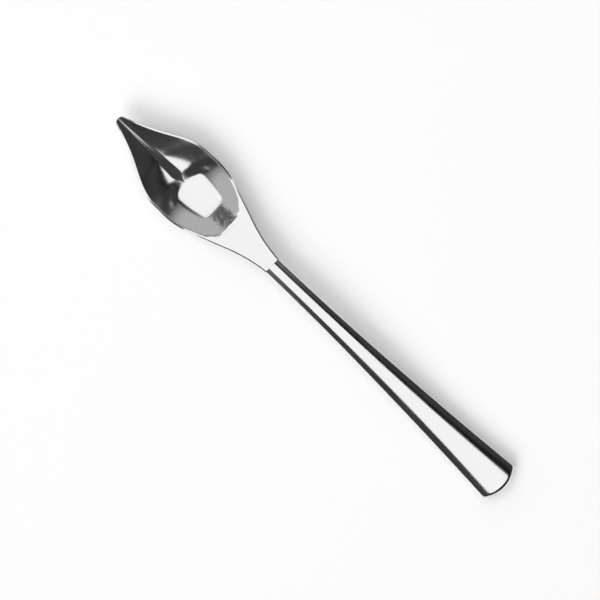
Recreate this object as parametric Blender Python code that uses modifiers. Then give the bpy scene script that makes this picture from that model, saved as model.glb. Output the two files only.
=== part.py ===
"""Plating spoon: a pressed leaf bowl with a pouring point, set by its tang in a hollow two-shell handle.

The frame: +X runs from the pouring point to the butt of the handle, +Y across, +Z up. The spoon lies on the
table at z = 0, with the origin under its middle. All sizes are in metres.

Two running distances are used: "along" is measured from the pouring point over the bowl, and "back" is
measured from the joint at the neck over the handle.
"""

import math

import bmesh
import bpy
import numpy as np
from mathutils import Vector
from mathutils.geometry import interpolate_bezier

# Bowl, seen from above
BOWL_LENGTH = 0.0815  # pouring point to the joint at the neck
BOWL_WIDTH = 0.0298
WIDEST_ALONG = 0.0368
POINT_WIDTH = 0.0031  # across the blunt end of the pouring point
POINT_FLARE = 0.32  # slope of the outline where it leaves the point
POINT_REACH = 0.0205  # how far the point's slope is felt
POINT_SETBACK = 0.0012  # the corners of the rounded point lie this far back
CHEEK_REACH = 0.0142  # roundness of the outline in front of the widest place
HIP_REACH = 0.0171  # roundness of the outline behind the widest place
NECK_WIDTH = 0.0070  # the handle starts at the same width
NECK_FLARE = 0.09  # slope of the outline where it reaches the joint
NECK_REACH = 0.0197

# Bowl, seen from the side
BOWL_DEPTH = 0.0059  # rim to the deepest place inside
POINT_DEPTH = 0.0008  # depth of the pouring groove at the point
POINT_FALL = 0.21  # slope of the keel where it leaves the point
GROOVE_LENGTH = 0.0304  # the pouring groove, from the point to its drop into the bowl
GROOVE_DEPTH = 0.0046  # rim to the keel where the groove ends
GROOVE_FALL = 0.02  # slope of the keel where the groove ends
DROP_LENGTH = 0.0054  # the groove drops into the bowl over this distance
DROP_SWEEP = 0.0060  # towards the sides the drop lies further back, by up to about this much
SWEEP_ROUNDING = 0.25  # rounding of the drop's line at the keel, as a share of the width
DROP_REACH = 0.0006  # how far the groove's slope carries into the drop
KEEL_REACH = 0.0006  # how early the drop levels out before the deepest place
HOLLOW_LENGTH = 0.0254  # deepest place to where the hollow runs out into the flat shoulder
NECK_RISE = 0.0011  # the neck stands this far above the rim

# Bowl, seen along its length
POINT_ROUNDNESS = 1.12  # 1 is a plain V groove, 2 is a round trough
GROOVE_ROUNDNESS = 1.20  # the same where the groove ends
BELLY_ROUNDNESS = 3.54  # how flat the bowl's floor is, 2 for a plain round
WALL_START = 0.69  # where the floor has turned into straight walls, as a share of the width
BELLY_LENGTH = 0.0054  # the groove's section opens into the bowl's over this distance
POINT_SOFTNESS = 0.05  # flat ledge on both sides of the crease at the point, as a share of the width
KEEL_SOFTNESS = 0.75  # the same where the groove ends
LEDGE_START = 0.0215  # the ledge starts to widen here
POINT_CREASE = 0.10  # sharp crease along the bottom of the groove at the point, as a share of the width
CREASE_WIDTH = 0.15  # the same where the groove ends
CREASE_SLOPE = 0.42  # slope of the crease's sides
HOLLOW_CORNER = 3.1  # how square the back end of the hollow is
LIP_SOFTNESS = 0.0006  # rounding where the hollow meets the shoulder

# Bowl metal
BOWL_SHEET = 0.0015
POINT_SHEET = 0.0006
POINT_THINNING = 0.0180  # the sheet thins over this distance to the point
NECK_THICKENING = 0.0215  # the sheet thickens over this distance to the neck
STEM_SQUARENESS = 4.7  # 2 is a round stem under the neck
RIM_ROUND = 0.00025

# Handle, seen from above
HANDLE_LENGTH = 0.1231
BUTT_WIDTH = 0.0168
FLARE_START = 0.0003  # slope of the sides at the joint
FLARE_END = 0.066  # slope of the sides at the butt
BUTT_BULGE = 0.00275  # the rounded end stands this far past its corners

# Handle, seen from the side and from its end
FRONT_CREST = 0.0029  # seam to the top, at the joint
FRONT_KEEL = 0.0027  # seam to the underside, at the joint
BUTT_CREST = 0.0035
BUTT_KEEL = 0.0031
SIDE_LAND = 0.0013  # upright side of the upper shell above the seam
SIDE_ROUND = 0.0024  # rounding of the lower shell's sides, across
HEEL_LENGTH = 0.0140  # flat stretch at the butt that rests on the table
ARCH_REACH = 0.0480  # how far the neck's slope carries into the handle
HEEL_REACH = 0.0460  # how early the handle levels out before the heel
SHELL_WALL = 0.0006
BUTT_ROUND = 0.0015  # rounding of the butt's edges
ROUND_ROOM = 0.8  # share of the end wall's height that the rounding may take

# Tang and its bedding
TANG_LENGTH = 0.0450
TANG_THICKNESS = 0.0014
TANG_END_WIDTH = 0.0022
TANG_ROOT = 0.0030  # the tang is forged into the neck over this distance
BEDDING_SIDE = 0.0005  # cement beside the tang, at the joint
BEDDING_PAST_TANG = 0.0040

# Fits
GAP = 0.0003  # between pieces that meet

# Mesh steps
BOWL_ROWS = 48
BOWL_COLUMNS = 16
CREASE_COLUMNS = 0.25  # share of the columns that fill the crease
CREASE_CLOSING = 0.85  # how far these columns draw together where the crease ends
SIDE_CROWDING = 1.2  # the other columns lie closer together near the crease
HANDLE_ROWS = 30
CREST_STEPS = 12
ROUND_STEPS = 5
FLOOR_STEPS = 6
TANG_ROWS = 12
CURVE_STEPS = 200
FINEST = 1e-6

# Worked out from the sizes above
DEEPEST_ALONG = GROOVE_LENGTH + DROP_LENGTH
WALL_STEEPNESS = 1 / (1 - WALL_START * (BELLY_ROUNDNESS - 1) / BELLY_ROUNDNESS)
RIM_HEIGHT = BOWL_DEPTH + BOWL_SHEET
NECK_SLOPE = 2 * NECK_RISE / (BOWL_LENGTH - DEEPEST_ALONG)
NECK_PITCH = math.atan(NECK_SLOPE)
JOINT_ALONG = BOWL_LENGTH + FRONT_CREST * math.sin(NECK_PITCH)  # the seam's start under the neck's top edge
JOINT_HEIGHT = RIM_HEIGHT + NECK_RISE - FRONT_CREST * math.cos(NECK_PITCH)
OVERALL_LENGTH = JOINT_ALONG + HANDLE_LENGTH
HEEL_BACK = HANDLE_LENGTH - HEEL_LENGTH
CORNER_BACK = HANDLE_LENGTH - BUTT_BULGE


def eased(share):
    """A share from 0 to 1 that starts and ends gently."""
    share = min(max(share, 0.0), 1.0)
    return share * share * (3 - 2 * share)


def stretch(start, start_handle, end_handle, end):
    """Two rows of numbers, distances and values, along one Bezier stretch."""
    corners = [Vector((*point, 0.0)) for point in (start, start_handle, end_handle, end)]
    points = np.array(interpolate_bezier(*corners, CURVE_STEPS))
    return points[:, 0], points[:, 1]


def outline_of_bowl():
    widest = BOWL_WIDTH / 2
    front = stretch(
        (0, POINT_WIDTH / 2),
        (POINT_REACH, POINT_WIDTH / 2 + POINT_REACH * POINT_FLARE),
        (WIDEST_ALONG - CHEEK_REACH, widest),
        (WIDEST_ALONG, widest),
    )
    rear = stretch(
        (WIDEST_ALONG, widest),
        (WIDEST_ALONG + HIP_REACH, widest),
        (BOWL_LENGTH - NECK_REACH, NECK_WIDTH / 2 + NECK_REACH * NECK_FLARE),
        (BOWL_LENGTH, NECK_WIDTH / 2),
    )
    return np.hstack((front, rear))


def keel_of_bowl():
    third = GROOVE_LENGTH / 3
    groove = stretch(
        (0, POINT_DEPTH),
        (third, POINT_DEPTH + third * POINT_FALL),
        (GROOVE_LENGTH - third, GROOVE_DEPTH - third * GROOVE_FALL),
        (GROOVE_LENGTH, GROOVE_DEPTH),
    )
    drop = stretch(
        (GROOVE_LENGTH, GROOVE_DEPTH),
        (GROOVE_LENGTH + DROP_REACH, GROOVE_DEPTH + DROP_REACH * GROOVE_FALL),
        (DEEPEST_ALONG - KEEL_REACH, BOWL_DEPTH),
        (DEEPEST_ALONG, BOWL_DEPTH),
    )
    return np.hstack((groove, drop))


def sides_of_handle():
    third = CORNER_BACK / 3
    return stretch(
        (0, NECK_WIDTH / 2),
        (third, NECK_WIDTH / 2 + third * FLARE_START),
        (CORNER_BACK - third, BUTT_WIDTH / 2 - third * FLARE_END),
        (CORNER_BACK, BUTT_WIDTH / 2),
    )


def seam_of_handle():
    return stretch(
        (0, JOINT_HEIGHT),
        (ARCH_REACH, JOINT_HEIGHT + ARCH_REACH * NECK_SLOPE),
        (HEEL_BACK - HEEL_REACH, BUTT_KEEL),
        (HEEL_BACK, BUTT_KEEL),
    )


BOWL_OUTLINE = outline_of_bowl()
BOWL_KEEL = keel_of_bowl()
HANDLE_SIDES = sides_of_handle()
HANDLE_SEAM = seam_of_handle()


def edge_sheet_at(along):
    """Thickness of the bowl's metal at the rim: thin at the point."""
    return BOWL_SHEET + (POINT_SHEET - BOWL_SHEET) * (1 - eased(along / POINT_THINNING))


def sheet_at(along, across):
    """Thickness of the bowl's metal: a rounded stem, as deep as the handle, grows under the neck."""
    neck_share = eased(1 - (BOWL_LENGTH - along) / NECK_THICKENING)
    stem = math.sqrt(max(0.0, 1 - abs(across) ** STEM_SQUARENESS))
    return edge_sheet_at(along) + (FRONT_CREST + FRONT_KEEL - BOWL_SHEET) * neck_share * stem


def hollow_share(along):
    """0 up to the deepest place, rising to 1 where the hollow ends."""
    return max(0.0, (along - DEEPEST_ALONG) / HOLLOW_LENGTH)


def belly_share(along):
    """0 over the pouring groove, rising to 1 where its section has opened into the bowl's."""
    return eased((along - GROOVE_LENGTH) / BELLY_LENGTH)


def groove_power(along):
    forward = max(0.0, 1 - along / GROOVE_LENGTH)
    return GROOVE_ROUNDNESS + (POINT_ROUNDNESS - GROOVE_ROUNDNESS) * forward


def ledge_softness(along):
    """Width of the flat ledge beside the crease, which opens where the groove ends."""
    widening = (along - LEDGE_START) / (GROOVE_LENGTH - LEDGE_START)
    return POINT_SOFTNESS + (KEEL_SOFTNESS - POINT_SOFTNESS) * min(max(widening, 0.0), 1.0)


def groove_rise(along, out):
    """Rise of the groove's side, from 0 at the keel to 1 at the rim."""
    power = groove_power(along)
    softness = ledge_softness(along)
    floor = softness**power
    full_rise = math.hypot(1, softness) ** power - floor
    return (math.hypot(out, softness) ** power - floor) / full_rise


def belly_rise(out):
    """Rise of the bowl's side: a rounded floor that runs out into straight walls."""
    start_rise = WALL_STEEPNESS * WALL_START / BELLY_ROUNDNESS
    if out < WALL_START:
        return start_rise * (out / WALL_START) ** BELLY_ROUNDNESS
    return start_rise + WALL_STEEPNESS * (out - WALL_START)


def swept_along(along, out):
    """The distance along that counts for the drop, which lies further back towards the sides."""
    sweep = DROP_SWEEP * (math.hypot(out, SWEEP_ROUNDING) - SWEEP_ROUNDING)
    return along - sweep * eased(along / GROOVE_LENGTH)


def crease_share(along):
    """Half the width of the crease, as a share of half the width of the bowl."""
    return POINT_CREASE + (CREASE_WIDTH - POINT_CREASE) * min(along / GROOVE_LENGTH, 1.0)


def crease_at(along, across):
    """Extra depth of the sharp crease, which narrows away where the groove drops into the bowl."""
    inside = max(0.0, crease_share(along) * (1 - belly_share(along)) - abs(across))
    return CREASE_SLOPE * np.interp(along, *BOWL_OUTLINE) * inside


def inner_half_width(along):
    """Half the width inside the rim: the sheet's edge stands square to the wall, so it shows from above."""
    outer = np.interp(along, *BOWL_OUTLINE)
    groove = groove_power(along)
    steepness = groove + (WALL_STEEPNESS - groove) * belly_share(along)
    wall_slope = steepness * np.interp(along, *BOWL_KEEL) / outer
    wall_tilt = math.atan(wall_slope) * max(0.0, 1 - hollow_share(along))
    return outer - edge_sheet_at(along) * math.sin(wall_tilt)


def depth_at(along, across):
    """Depth below the rim line, with across from -1 at one edge to 1 at the other."""
    back = hollow_share(along)
    out = (back**HOLLOW_CORNER + abs(across) ** HOLLOW_CORNER) ** (1 / HOLLOW_CORNER)
    swept = swept_along(along, out)
    groove = groove_rise(swept, out)
    rise = groove + (belly_rise(out) - groove) * belly_share(swept)
    depth = np.interp(swept, *BOWL_KEEL) * (1 - rise)
    lip = 2 * LIP_SOFTNESS * min(back, 1.0)
    return (depth + math.hypot(depth, lip)) / 2 if back else depth + crease_at(along, across)


def bowl_point(along, across):
    """Place of the bowl's upper face, with the corners of the pouring point rounded off."""
    rounded = 1 - math.sqrt(max(0.0, 1 - across * across))
    along += POINT_SETBACK * rounded * (1 - eased(along / (6 * POINT_SETBACK)))
    rising = max(0.0, along - DEEPEST_ALONG) / (BOWL_LENGTH - DEEPEST_ALONG)
    height = RIM_HEIGHT + NECK_RISE * rising**2 - depth_at(along, across)
    return Vector((along - OVERALL_LENGTH / 2, across * inner_half_width(along), height))


def handle_half_width(back):
    return float(np.interp(back, *HANDLE_SIDES))


def handle_share(back):
    """How far the handle's section has changed from the joint's to the butt's."""
    return eased(back / HEEL_BACK)


def crest_at(back):
    return FRONT_CREST + (BUTT_CREST - FRONT_CREST) * handle_share(back)


def underside_at(back):
    return FRONT_KEEL + (BUTT_KEEL - FRONT_KEEL) * handle_share(back)


def handle_point(back, across, above):
    """A point by its distance behind the joint, across, and above the seam, square to the seam's slope."""
    step = HANDLE_LENGTH / CURVE_STEPS
    if back < 0:
        seam, slope = JOINT_HEIGHT + back * NECK_SLOPE, NECK_SLOPE
    else:
        seam = np.interp(back, *HANDLE_SEAM)
        rise = np.interp(back + step, *HANDLE_SEAM) - np.interp(max(back - step, 0), *HANDLE_SEAM)
        slope = rise / (step + min(back, step))
    pitch = math.atan(slope)
    x = JOINT_ALONG - OVERALL_LENGTH / 2 + back
    return Vector((x - above * math.sin(pitch), across, seam + above * math.cos(pitch)))


def end_bulge(across):
    """How far the rounded butt stands past its corners at this place across."""
    half = BUTT_WIDTH / 2
    radius = (half * half + BUTT_BULGE * BUTT_BULGE) / (2 * BUTT_BULGE)
    return math.sqrt(max(radius * radius - across * across, 0.0)) - (radius - BUTT_BULGE)


def upper_section(back, inset=0.0):
    """Points across and above the seam, from the right side over the crest to the left side."""
    half = handle_half_width(back) - inset
    land = SIDE_LAND - inset / 2
    crest = crest_at(back) - inset - land
    radius = (half * half + crest * crest) / (2 * crest)
    edge_angle = math.asin(half / radius)
    points = [(half, GAP / 2)]
    for step in range(CREST_STEPS + 1):
        angle = edge_angle * (1 - 2 * step / CREST_STEPS)
        points.append((radius * math.sin(angle), land + crest - radius * (1 - math.cos(angle))))
    points.append((-half, GAP / 2))
    return points


def lower_section(back, inset=0.0):
    """Points across and above the seam, from the right side under the handle to the left side."""
    half = handle_half_width(back) - inset
    round_across = min(SIDE_ROUND, half) - inset / 2
    floor = underside_at(back) - inset
    right = []
    for step in range(ROUND_STEPS + 1):
        angle = math.pi / 2 * step / ROUND_STEPS
        across = half - round_across * (1 - math.cos(angle))
        right.append((across, -GAP / 2 - (floor - GAP / 2) * math.sin(angle)))
    floor_half = right[-1][0]
    middle = [(floor_half * (1 - 2 * step / FLOOR_STEPS), right[-1][1]) for step in range(1, FLOOR_STEPS)]
    left = [(-across, above) for across, above in reversed(right)]
    return right + middle + left


def clear_scene():
    for old in list(bpy.data.objects):
        bpy.data.objects.remove(old, do_unlink=True)


def new_collection(name):
    collection = bpy.data.collections.new(name)
    bpy.context.scene.collection.children.link(collection)
    return collection


def new_material(name, colour, roughness, metallic):
    material = bpy.data.materials.new(name)
    material.use_nodes = True
    shader = material.node_tree.nodes["Principled BSDF"]
    shader.inputs["Base Color"].default_value = (*colour, 1.0)
    shader.inputs["Roughness"].default_value = roughness
    shader.inputs["Metallic"].default_value = metallic
    return material


def new_grid(name, rows, columns, place, collection):
    """A grid primitive whose corners are moved by place(row share 0 to 1, column share -1 to 1)."""
    bpy.ops.mesh.primitive_grid_add(x_subdivisions=rows, y_subdivisions=columns, size=1)
    grid = bpy.context.object
    grid.name = name
    grid.data.name = name
    for vertex in grid.data.vertices:
        vertex.co = place(vertex.co.x + 0.5, vertex.co.y * 2)
    for owner in list(grid.users_collection):
        owner.objects.unlink(grid)
    collection.objects.link(grid)
    return grid


def face_towards(obj, direction):
    """Turns the open surface so that its faces look this way on the whole."""
    mesh = obj.data
    total = sum((face.normal * face.area for face in mesh.polygons), Vector())
    if total.dot(direction) < 0:
        mesh.flip_normals()


def add_wall(obj, thickness):
    wall = obj.modifiers.new("wall", "SOLIDIFY")
    wall.thickness = thickness
    wall.offset = -1
    wall.use_even_offset = True
    return wall


def add_boolean(obj, operation, other):
    change = obj.modifiers.new(operation.lower(), "BOOLEAN")
    change.operation = operation
    change.object = other


def shade_round(obj, sharp_degrees=40):
    obj.data.shade_smooth()
    obj.data.set_sharp_from_angle(angle=math.radians(sharp_degrees))


def as_helper(obj):
    obj.hide_render = True
    obj.display_type = "WIRE"


def bowl_along(share):
    """Half of the rows lie in front of the deepest place and half behind it."""
    if share <= 0.5:
        return DEEPEST_ALONG * share * 2
    return DEEPEST_ALONG + (BOWL_LENGTH - DEEPEST_ALONG) * (share * 2 - 1)


def spread(column, along):
    """Where a column lies across the bowl: some fill the crease, and they crowd at the edges of the neck."""
    crease = crease_share(along) * (1 - CREASE_CLOSING * belly_share(along))
    outer = max(0.0, abs(column) - CREASE_COLUMNS) / (1 - CREASE_COLUMNS)
    inner = min(abs(column) / CREASE_COLUMNS, 1.0)
    in_front = math.copysign(crease * inner + (1 - crease) * outer**SIDE_CROWDING, column)
    at_edges = math.sin(column * math.pi / 2)
    return in_front + (at_edges - in_front) * min(hollow_share(along), 1.0)


def tang_half_width(back):
    mouth_inside = NECK_WIDTH / 2 - SHELL_WALL
    root = mouth_inside - BEDDING_SIDE - 2 * GAP
    share = min(max(back / TANG_LENGTH, 0.0), 1.0)
    return root + (TANG_END_WIDTH / 2 - root) * share


def tang_level():
    """Height of the tang's middle above the seam: half way between the mouth's floor and its roof."""
    root = tang_half_width(0)
    roof = min(above for across, above in upper_section(0, SHELL_WALL)[1:-1] if abs(across) <= root)
    floor = SHELL_WALL - FRONT_KEEL
    return (roof + floor) / 2


def make_tang(name, start, end, clearance, collection):
    """The tang's bar, or with a clearance the room that it takes."""
    top = tang_level() + TANG_THICKNESS / 2 + clearance

    def place(row, column):
        back = start + (end - start) * row
        return handle_point(back, column * (tang_half_width(back) + clearance), top)

    tang = new_grid(name, TANG_ROWS, 2, place, collection)
    face_towards(tang, Vector((0, 0, 1)))
    add_wall(tang, TANG_THICKNESS + 2 * clearance)
    as_helper(tang)
    return tang


def make_bowl(collection, helpers):
    thickest = FRONT_CREST + FRONT_KEEL

    def place(row, column):
        along = bowl_along(row)
        return bowl_point(along, spread(column, along))

    bowl = new_grid("bowl", BOWL_ROWS, BOWL_COLUMNS, place, collection)
    face_towards(bowl, Vector((0, 0, 1)))
    thickness = bowl.vertex_groups.new(name="thickness")
    for vertex in bowl.data.vertices:
        along = vertex.co.x + OVERALL_LENGTH / 2
        across = vertex.co.y / inner_half_width(along)
        thickness.add([vertex.index], sheet_at(along, across) / thickest, "REPLACE")
    wall = add_wall(bowl, thickest)
    wall.vertex_group = thickness.name
    rounding = bowl.modifiers.new("rim", "BEVEL")
    rounding.width = RIM_ROUND
    rounding.segments = 2
    rounding.limit_method = "ANGLE"
    rounding.angle_limit = math.radians(60)
    add_boolean(bowl, "UNION", make_tang("tang_bar", -TANG_ROOT, TANG_LENGTH, 0.0, helpers))
    shade_round(bowl)
    bowl.data.materials.append(new_material("mirror_polished_bowl", (0.78, 0.78, 0.77), 0.08, 1.0))
    return bowl


def make_shell(name, section, direction, collection):
    """One half of the handle: a bent grid, closed at the butt by a wall down to the seam."""
    columns = len(section(0)) - 1

    def place(row, column):
        index = round((column + 1) / 2 * columns)
        back = GAP + (CORNER_BACK - GAP) * row
        across, above = section(back)[index]
        rounding_share = eased((back - HEEL_BACK) / (CORNER_BACK - HEEL_BACK))
        return handle_point(back + end_bulge(across) * rounding_share, across, above)

    shell = new_grid(name, HANDLE_ROWS, columns, place, collection)
    close_butt(shell, GAP / 2 * math.copysign(1, direction.z))
    face_towards(shell, direction)
    rounding = shell.modifiers.new("butt", "BEVEL")
    rounding.width = BUTT_ROUND
    rounding.segments = 3
    rounding.limit_method = "WEIGHT"
    add_wall(shell, SHELL_WALL)
    shade_round(shell)
    return shell


def close_butt(shell, seam_side):
    """Draws the end of the shell straight to the seam, and marks the edges of the butt for rounding."""
    mesh = bmesh.new()
    mesh.from_mesh(shell.data)
    weight = mesh.edges.layers.float.new("bevel_weight_edge")
    seam = BUTT_KEEL + seam_side
    corner = JOINT_ALONG - OVERALL_LENGTH / 2 + CORNER_BACK
    last = [e for e in mesh.edges if e.is_boundary and min(v.co.x for v in e.verts) > corner - FINEST]
    for edge in last:
        middle = (edge.verts[0].co.z + edge.verts[1].co.z) / 2
        edge[weight] = min(ROUND_ROOM * abs(middle - seam) / BUTT_ROUND, 1.0)
    upright = [e for e in last if (e.verts[0].co - e.verts[1].co).xy.length < FINEST]
    made = bmesh.ops.extrude_edge_only(mesh, edges=[e for e in last if e not in upright])
    for item in made["geom"]:
        if isinstance(item, bmesh.types.BMVert):
            item.co.z = seam
        elif isinstance(item, bmesh.types.BMEdge):
            item[weight] = 0.0
    bmesh.ops.remove_doubles(mesh, verts=mesh.verts, dist=FINEST)
    bmesh.ops.recalc_face_normals(mesh, faces=mesh.faces)
    mesh.to_mesh(shell.data)
    mesh.free()


def make_bedding(collection, helpers):
    """A plug that fills the front of the handle, with a slot for the tang."""
    inset = SHELL_WALL + GAP
    start = 2 * GAP
    end = TANG_LENGTH + BEDDING_PAST_TANG
    upper = upper_section(0, inset)
    ring_length = len(upper) + len(lower_section(0, inset))

    def ring(back):
        return upper_section(back, inset) + lower_section(back, inset)[::-1]

    def place(row, column):
        index = round((column + 1) / 2 * ring_length) % ring_length
        back = start + (end - start) * row
        across, above = ring(back)[index]
        return handle_point(back, across, above)

    bedding = new_grid("tang_bedding", TANG_ROWS, ring_length, place, collection)
    mesh = bmesh.new()
    mesh.from_mesh(bedding.data)
    bmesh.ops.remove_doubles(mesh, verts=mesh.verts, dist=FINEST)
    bmesh.ops.holes_fill(mesh, edges=[e for e in mesh.edges if e.is_boundary])
    bmesh.ops.recalc_face_normals(mesh, faces=mesh.faces)
    mesh.to_mesh(bedding.data)
    mesh.free()
    add_boolean(bedding, "DIFFERENCE", make_tang("tang_room", -GAP, TANG_LENGTH + GAP, GAP, helpers))
    bedding.data.materials.append(new_material("grey_bedding_cement", (0.42, 0.40, 0.37), 0.9, 0.0))
    return bedding


def main():
    clear_scene()
    spoon = new_collection("plating_spoon")
    helpers = new_collection("spoon_cutters")
    make_bowl(spoon, helpers)
    upper = make_shell("handle_upper_shell", upper_section, Vector((0, 0, 1)), spoon)
    upper.data.materials.append(new_material("polished_upper_shell", (0.76, 0.76, 0.75), 0.10, 1.0))
    lower = make_shell("handle_lower_shell", lower_section, Vector((0, 0, -1)), spoon)
    lower.data.materials.append(new_material("polished_lower_shell", (0.74, 0.74, 0.73), 0.14, 1.0))
    make_bedding(spoon, helpers)


main()
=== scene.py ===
"""Plating spoon: the finished bowl and handle, and the white table that the spoon lies on.

Everything is in metres, in the frame of the loaded solids: +X runs from the pouring point to the butt of the
handle, +Y across, +Z up. "Along" is measured from the pouring point over the bowl, "back" from the joint at
the neck over the handle, and "across" from the middle plane.
"""

import math

import bmesh
import bpy
import numpy as np
from bpy.props import FloatProperty, FloatVectorProperty, IntProperty, PointerProperty
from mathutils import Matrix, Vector
from mathutils.geometry import interpolate_bezier


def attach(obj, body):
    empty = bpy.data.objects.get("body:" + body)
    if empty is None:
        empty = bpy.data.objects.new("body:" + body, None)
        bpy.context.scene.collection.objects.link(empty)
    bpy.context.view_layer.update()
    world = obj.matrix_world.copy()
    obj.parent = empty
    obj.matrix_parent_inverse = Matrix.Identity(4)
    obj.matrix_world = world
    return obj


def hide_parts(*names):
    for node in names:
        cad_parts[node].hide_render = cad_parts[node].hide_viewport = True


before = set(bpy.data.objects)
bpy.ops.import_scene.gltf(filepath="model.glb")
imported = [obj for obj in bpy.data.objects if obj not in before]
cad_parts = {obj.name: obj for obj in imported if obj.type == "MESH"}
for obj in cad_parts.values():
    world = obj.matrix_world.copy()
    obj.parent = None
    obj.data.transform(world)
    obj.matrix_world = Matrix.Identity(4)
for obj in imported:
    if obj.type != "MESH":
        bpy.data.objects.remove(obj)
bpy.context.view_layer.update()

bl_info = {
    "name": "Plating spoon",
    "version": (1, 0, 0),
    "blender": (4, 5, 0),
    "location": "3D View > Sidebar > Spoon",
    "description": "Models a polished plating spoon with a creased pouring point and a hollow handle",
    "category": "Add Mesh",
}

CURVE_STEPS = 240
SMOOTH_ANGLE = math.radians(32)  # edges that turn more than this stay crisp
NEAR = 1e-5  # slack when picking what lies at an end
SAME = 1e-6  # corners closer than this are merged

SWEEP_SOFTNESS = 0.25  # rounding of the swept drop over the keel, as a share of the width
POINT_FADE = 6  # the rounding of the point fades out over this many setbacks
STRIP_START = 0.3  # the shoulder's ground strip starts at this share of the hollow's length
STRIP_GROWTH = 0.5  # and is full after this much more
CREASE_PART = 4  # one column in this many lies in the crease
COLUMN_SPREAD = 1.2  # the columns lie further apart towards the rim
CREASE_CLOSING = 0.85  # the columns of the crease close up by this share where it ends
CREASE_END = 0.97  # the crease stays crisp until the groove is this far open
TANG_STEPS = 12
TANG_BLOCK = 0.0005  # length of the block that the tang is drawn out of

FLAT_SHARE = 0.35  # share of the lower shell's columns that lie on its flat
BUTT_CORNER = math.radians(45)  # edges of the butt that turn more than this are rounded
ROUNDING_ROOM = 0.8  # the rounding takes this share of the height over the seam
UPRIGHT = 0.95  # sideways part of the direction that the upright side faces
LEANING = 0.85  # and of the crown beside it
CROWN_CORNER = math.radians(20)  # the edge between them turns more than this

SMUDGE_ROUGHNESS = 0.035  # roughness that the smudges add
LINE_ROUGHNESS = (-0.012, 0.03)  # and that the polishing lines take away and add
LINE_STRENGTH = 0.04
LINE_HEIGHT = 0.00001
CLOUD_SHADE = 0.965  # the darker places in the metal's tint
GRAIN_SHADE = 0.7  # the darker places in the bedding's tint

TABLE_DROP = 0.00002  # the table lies a hair below the spoon
SENSOR = 36  # width of the camera's sensor in millimetres


def length(description, default):
    """A length that a user may change."""
    return FloatProperty(description=description, default=default, unit="LENGTH", precision=5)


def share(description, default):
    """A plain number, such as a slope or a share of a width."""
    return FloatProperty(description=description, default=default, precision=4)


def angle(description, degrees):
    """An angle, kept in radians."""
    return FloatProperty(description=description, default=math.radians(degrees), subtype="ANGLE")


def colour(description, default):
    """A plain colour."""
    return FloatVectorProperty(
        description=description, default=default, subtype="COLOR", size=3, min=0.0, max=1.0
    )


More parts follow.
